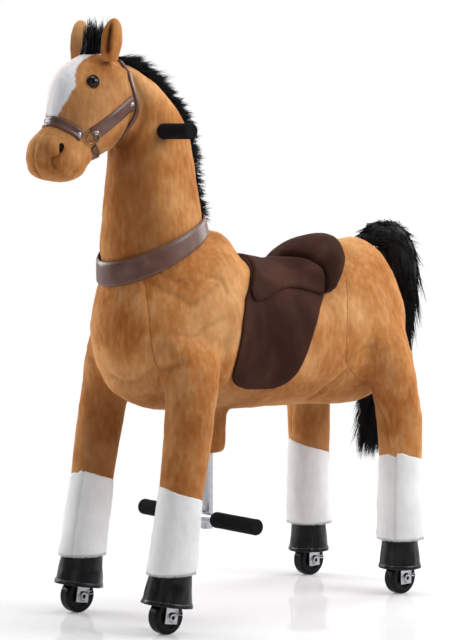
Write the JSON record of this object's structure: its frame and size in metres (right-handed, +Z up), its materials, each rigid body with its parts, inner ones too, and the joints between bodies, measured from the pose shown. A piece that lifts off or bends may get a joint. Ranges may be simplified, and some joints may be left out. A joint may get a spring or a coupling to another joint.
{
  "type": "ride-on horse on wheels",
  "caption": "Plush ride-on horse with a hinged steel frame inside, handlebar steering through the neck, foot bar, saddle and castered wheels in the hooves.",
  "frame": {"origin": "on the floor, under the middle of the overall box", "axes": "+X is forward, towards the horse's nose; +Y is the horse's left; +Z is up"},
  "size_m": [0.8824, 0.334, 1.027],
  "materials": {
    "plush": "matte",
    "dark_hair": "matte",
    "suede": "matte",
    "strap": "satin",
    "hoof": "satin",
    "steel": "satin",
    "foam": "matte",
    "tyre": "satin",
    "wheel_core": "satin",
    "wood": "matte",
    "eye": "gloss",
    "ring": "satin"
  },
  "bodies": {
    "front_half": {"chest": "plush", "front_leg_left": "plush", "front_leg_right": "plush", "front_hoof_left": "hoof", "front_hoof_right": "hoof", "front_leg_tube_left": "steel", "front_leg_tube_right": "steel", "front_crossbar": "steel", "front_beam": "steel", "steering_head": "steel", "pedal_post": "steel", "pedal_bar": "steel", "pedal_foam_left": "foam", "pedal_foam_right": "foam", "post_sleeve": "plush"},
    "rear_half": {"rear_body": "plush", "rear_leg_left": "plush", "rear_leg_right": "plush", "rear_hoof_left": "hoof", "rear_hoof_right": "hoof", "rear_leg_tube_left": "steel", "rear_leg_tube_right": "steel", "rear_crossbar": "steel", "rear_beam": "steel", "hinge_pin": "steel", "return_spring": "steel", "seat_board": "wood", "rear_fork_left": "steel", "rear_fork_right": "steel", "rear_axles": "steel", "saddle_pad": "suede", "saddle_seat": "suede", "saddle_cantle": "suede", "tail": "dark_hair"},
    "neck": {"neck": "plush", "head": "plush", "ears": "plush", "mane": "dark_hair", "forelock": "dark_hair", "eyes": "eye", "neck_strap": "strap", "noseband": "strap", "cheek_straps": "strap", "bridle_rings": "ring", "steering_column": "steel", "handlebar": "steel", "grip_left": "foam", "grip_right": "foam"},
    "front_fork_left": {"front_fork_left": "steel", "front_axle_left": "steel"},
    "front_fork_right": {"front_fork_right": "steel", "front_axle_right": "steel"},
    "wheel_front_left": {"wheel_front_left": "wheel_core", "tyre_front_left": "tyre"},
    "wheel_front_right": {"wheel_front_right": "wheel_core", "tyre_front_right": "tyre"},
    "wheel_rear_left": {"wheel_rear_left": "wheel_core", "tyre_rear_left": "tyre"},
    "wheel_rear_right": {"wheel_rear_right": "wheel_core", "tyre_rear_right": "tyre"}
  },
  "joints": [
    {"name": "body_fold", "type": "hinge", "parent": "front_half", "child": "rear_half", "pos_m": [0.02, 0, 0.54], "axis": [0, 1, 0], "range_deg": [0, 10], "stiffness_Nm_per_rad": 80, "springref_deg": -11.46, "deforming": ["return_spring"]},
    {"name": "steer", "type": "hinge", "parent": "front_half", "child": "neck", "pos_m": [0.187, 0, 0.621], "axis": [0.4067, 0, 0.9135], "range_deg": [-20, 20]},
    {"name": "front_fork_left_swivel", "type": "hinge", "parent": "front_half", "child": "front_fork_left", "pos_m": [0.262, 0.123, 0.03], "axis": [-0.165, 0, 0.9863], "range_deg": [-20, 20]},
    {"name": "front_fork_right_swivel", "type": "hinge", "parent": "front_half", "child": "front_fork_right", "pos_m": [0.262, -0.123, 0.03], "axis": [-0.165, 0, 0.9863], "range_deg": [-20, 20]},
    {"name": "wheel_front_left_spin", "type": "hinge", "parent": "front_fork_left", "child": "wheel_front_left", "pos_m": [0.262, 0.123, 0.03], "axis": [0, 1, 0], "continuous": true},
    {"name": "wheel_front_right_spin", "type": "hinge", "parent": "front_fork_right", "child": "wheel_front_right", "pos_m": [0.262, -0.123, 0.03], "axis": [0, 1, 0], "continuous": true},
    {"name": "wheel_rear_left_spin", "type": "hinge", "parent": "rear_half", "child": "wheel_rear_left", "pos_m": [-0.29, 0.123, 0.03], "axis": [0, 1, 0], "continuous": true},
    {"name": "wheel_rear_right_spin", "type": "hinge", "parent": "rear_half", "child": "wheel_rear_right", "pos_m": [-0.29, -0.123, 0.03], "axis": [0, 1, 0], "continuous": true}
  ],
  "couplings": [
    {"joint": "front_fork_left_swivel", "follows": "steer", "ratio": 1},
    {"joint": "front_fork_right_swivel", "follows": "steer", "ratio": 1}
  ]
}
